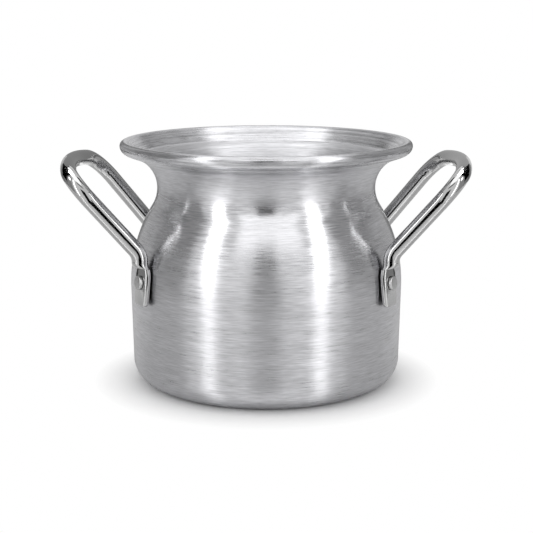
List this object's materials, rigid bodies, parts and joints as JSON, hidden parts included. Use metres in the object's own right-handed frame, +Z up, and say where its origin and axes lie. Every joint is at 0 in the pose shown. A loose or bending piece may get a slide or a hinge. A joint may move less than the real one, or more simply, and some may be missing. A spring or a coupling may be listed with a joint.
{
  "type": "cooking pot",
  "caption": "Spun metal cooking pot with an upright wall, a shoulder drawn in to a neck, a flared mouth with a rolled rim, and riveted loop handles of bent rod that lean outward.",
  "frame": {"origin": "centre of the base's underside, on the pot's axis", "axes": "+Z up along the pot's axis, +X towards the right handle, and the picture's viewer on the -Y side"},
  "size_m": [0.2074, 0.1488, 0.1246],
  "materials": {
    "brushed_body": "bare spun sheet, brushed round the pot",
    "polished_handle": "polished rod",
    "rivet": "satin"
  },
  "bodies": {
    "root": {"pot_body": "brushed_body", "right_handle": "polished_handle", "right_front_rivet": "rivet", "right_rear_rivet": "rivet", "left_handle": "polished_handle", "left_rear_rivet": "rivet", "left_front_rivet": "rivet"}
  },
  "joints": []
}
